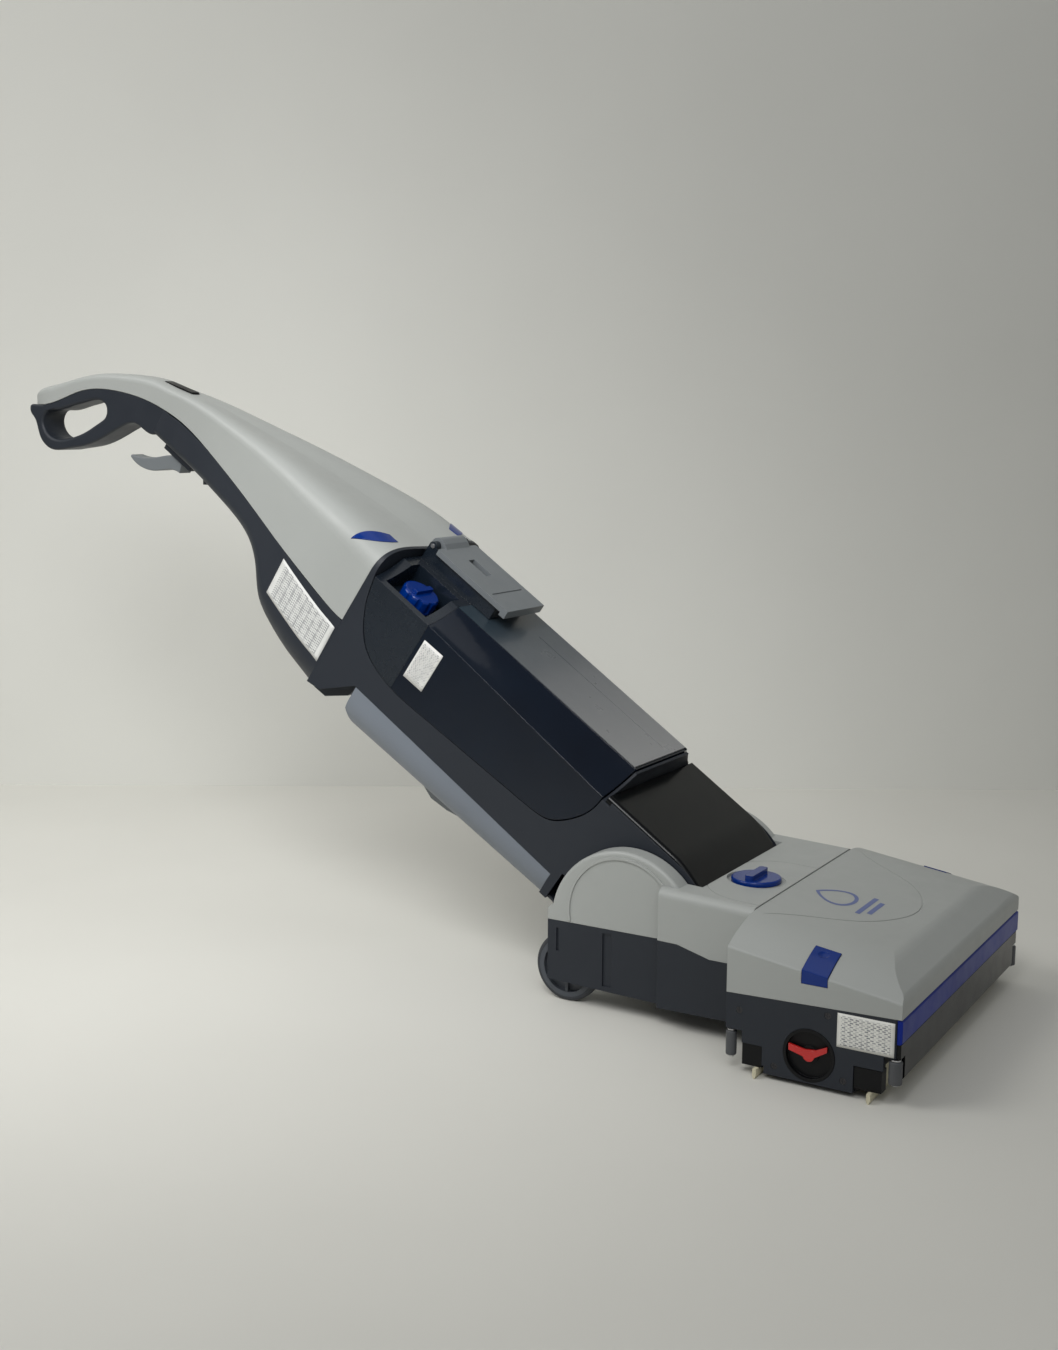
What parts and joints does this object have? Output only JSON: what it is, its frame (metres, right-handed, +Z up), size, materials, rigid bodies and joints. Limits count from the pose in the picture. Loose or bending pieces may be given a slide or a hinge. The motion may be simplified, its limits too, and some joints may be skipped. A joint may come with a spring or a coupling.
{
  "type": "wet dry floor scrubber",
  "caption": "Upright wet and dry floor scrubber with a wide low brush head, squeegees, a tilting body with a smoked recovery tank, and a long handle with a loop grip.",
  "frame": {"origin": "middle of the whole object's bounding box on the floor, with the body leaning at 35 degrees", "axes": "+Z up, +Y from the brush head towards the handle, +X towards the operator's left as seen from behind"},
  "size_m": [0.39, 1.2234, 0.6405],
  "materials": {
    "light_shell": "light grey moulded plastic, fine texture",
    "dark_shell": "charcoal moulded plastic, fine texture",
    "gloss_black": "polished black plastic",
    "blue_plastic": "glossy blue plastic",
    "navy_strip": "glossy dark blue plastic",
    "red_plastic": "glossy red plastic",
    "black_plastic": "black moulded plastic",
    "grey_tank": "mid grey blown plastic",
    "smoke_tank": "smoked dark blue translucent plastic",
    "satin_strip": "satin grey plastic",
    "tank_head": "dark glossy plastic",
    "mid_grey": "mid grey moulded plastic",
    "blade_rubber": "ivory rubber",
    "black_rubber": "black rubber",
    "bristle": "blue nylon bristles",
    "steel": "zinc plated steel",
    "dark_screw": "black oxide steel",
    "motor_can": "plated steel motor can",
    "alloy": "bare alloy",
    "tyre": "dark grey tyre rubber",
    "wheel_rim": "grey wheel plastic",
    "roller": "dark grey roller plastic",
    "pump_body": "black pump plastic",
    "valve_body": "off-white valve plastic",
    "board": "green circuit board",
    "label": "white printed film",
    "float": "white hollow float"
  },
  "bodies": {
    "base": {"head_chassis": "dark_shell", "right_side_plate": "dark_shell", "left_side_plate": "dark_shell", "plate_screws": "dark_screw", "front_panel": "gloss_black", "front_strip": "navy_strip", "side_label": "label", "squeegee_holders": "black_plastic", "front_squeegee_blade": "blade_rubber", "rear_squeegee_blade": "blade_rubber", "brush_end_cap": "black_plastic", "brush_motor": "motor_can", "drive_belt": "black_rubber", "roller_pins": "steel", "rear_chassis": "dark_shell", "rear_cover": "light_shell", "flow_valve": "valve_body", "water_pump": "pump_body", "dirty_water_duct": "black_plastic", "pivot_brackets": "steel", "pivot_tubes": "steel", "wheel_axles": "steel"},
    "head_cover": {"head_cover": "light_shell"},
    "right_latch": {"right_cover_latch": "blue_plastic"},
    "left_latch": {"left_cover_latch": "blue_plastic"},
    "dial": {"flow_dial": "blue_plastic"},
    "brush": {"brush_core": "black_plastic", "brush_bristles": "bristle"},
    "motor_rotor": {"motor_rotor": "steel"},
    "release_lever": {"brush_release_lever": "red_plastic"},
    "right_wheel": {"right_wheel_rim": "wheel_rim", "right_wheel_tyre": "tyre"},
    "left_wheel": {"left_wheel_rim": "wheel_rim", "left_wheel_tyre": "tyre"},
    "front_right_roller": {"front_right_roller": "roller"},
    "front_left_roller": {"front_left_roller": "roller"},
    "rear_right_roller": {"rear_right_roller": "roller"},
    "rear_left_roller": {"rear_left_roller": "roller"},
    "upper_body": {"body_housing": "dark_shell", "front_cover": "gloss_black", "solution_tank": "grey_tank", "pivot_bushes": "pump_body", "vacuum_motor": "alloy", "air_duct": "black_plastic", "control_board": "board", "lower_hook": "mid_grey", "handle_bracket": "dark_shell", "handle_front_shell": "light_shell", "handle_rear_shell": "dark_shell", "side_accents": "blue_plastic"},
    "vacuum_fan": {"vacuum_fan": "alloy"},
    "power_switch": {"power_switch": "black_plastic"},
    "cable_hook": {"cable_hook": "mid_grey"},
    "recovery_tank": {"tank_bucket": "smoke_tank", "tank_strip": "satin_strip", "tank_head": "tank_head", "latch_pin": "steel"},
    "tank_latch": {"tank_latch": "mid_grey"},
    "tank_cap": {"tank_cap": "blue_plastic"},
    "tank_float": {"tank_float": "float"}
  },
  "joints": [
    {"name": "head_cover_lift", "type": "slide", "parent": "base", "child": "head_cover", "axis": [0, 0, 1], "range_m": [0, 0.05]},
    {"name": "right_latch_pull", "type": "slide", "parent": "head_cover", "child": "right_latch", "axis": [-1, 0, 0], "range_m": [0, 0.005], "stiffness_N_per_m": 400},
    {"name": "left_latch_pull", "type": "slide", "parent": "head_cover", "child": "left_latch", "axis": [1, 0, 0], "range_m": [0, 0.005], "stiffness_N_per_m": 400},
    {"name": "dial_turn", "type": "hinge", "parent": "base", "child": "dial", "pos_m": [-0.042, -0.41117, 0.14], "axis": [0, 0, 1], "range_deg": [0, 270]},
    {"name": "brush_spin", "type": "hinge", "parent": "base", "child": "brush", "pos_m": [0, -0.52767, 0.031], "axis": [1, 0, 0], "continuous": true},
    {"name": "motor_spin", "type": "hinge", "parent": "base", "child": "motor_rotor", "pos_m": [0.14, -0.49817, 0.098], "axis": [1, 0, 0], "continuous": true},
    {"name": "release_lever_turn", "type": "hinge", "parent": "base", "child": "release_lever", "pos_m": [-0.19, -0.52767, 0.031], "axis": [1, 0, 0], "range_deg": [0, 60]},
    {"name": "right_wheel_roll", "type": "hinge", "parent": "base", "child": "right_wheel", "pos_m": [-0.103, -0.23417, 0.0356], "axis": [1, 0, 0], "continuous": true},
    {"name": "left_wheel_roll", "type": "hinge", "parent": "base", "child": "left_wheel", "pos_m": [0.103, -0.23417, 0.0356], "axis": [1, 0, 0], "continuous": true},
    {"name": "front_right_roller_spin", "type": "hinge", "parent": "base", "child": "front_right_roller", "pos_m": [-0.1855, -0.60567, 0.0305], "axis": [0, 0, 1], "continuous": true},
    {"name": "front_left_roller_spin", "type": "hinge", "parent": "base", "child": "front_left_roller", "pos_m": [0.1855, -0.60567, 0.0305], "axis": [0, 0, 1], "continuous": true},
    {"name": "rear_right_roller_spin", "type": "hinge", "parent": "base", "child": "rear_right_roller", "pos_m": [-0.1855, -0.45117, 0.0265], "axis": [0, 0, 1], "continuous": true},
    {"name": "rear_left_roller_spin", "type": "hinge", "parent": "base", "child": "rear_left_roller", "pos_m": [0.1855, -0.45117, 0.0265], "axis": [0, 0, 1], "continuous": true},
    {"name": "body_tilt", "type": "hinge", "parent": "base", "child": "upper_body", "pos_m": [0, -0.30317, 0.088], "axis": [1, 0, 0], "range_deg": [-22, 37]},
    {"name": "fan_spin", "type": "hinge", "parent": "upper_body", "child": "vacuum_fan", "pos_m": [0, -0.28335, 0.11897], "axis": [1, 0, 0], "continuous": true},
    {"name": "switch_rock", "type": "hinge", "parent": "upper_body", "child": "power_switch", "pos_m": [0, 0.37164, 0.61666], "axis": [1, 0, 0], "range_deg": [0, 6]},
    {"name": "cable_hook_turn", "type": "hinge", "parent": "upper_body", "child": "cable_hook", "pos_m": [0, 0.37009, 0.53867], "axis": [0, -0.5736, 0.8192], "range_deg": [0, 180]},
    {"name": "tank_lift", "type": "slide", "parent": "upper_body", "child": "recovery_tank", "axis": [0, -0.5736, 0.8192], "range_m": [0, 0.06]},
    {"name": "tank_latch_open", "type": "hinge", "parent": "recovery_tank", "child": "tank_latch", "pos_m": [0, -0.01878, 0.45071], "axis": [-1, 0, 0], "range_deg": [0, 60]},
    {"name": "tank_cap_turn", "type": "hinge", "parent": "recovery_tank", "child": "tank_cap", "pos_m": [-0.068, -0.02508, 0.39869], "axis": [0, -0.5736, 0.8192], "range_deg": [0, 90]},
    {"name": "float_rise", "type": "slide", "parent": "recovery_tank", "child": "tank_float", "axis": [0, -0.5736, 0.8192], "range_m": [0, 0.015]}
  ],
  "couplings": [
    {"joint": "motor_spin", "follows": "brush_spin", "ratio": 2}
  ]
}
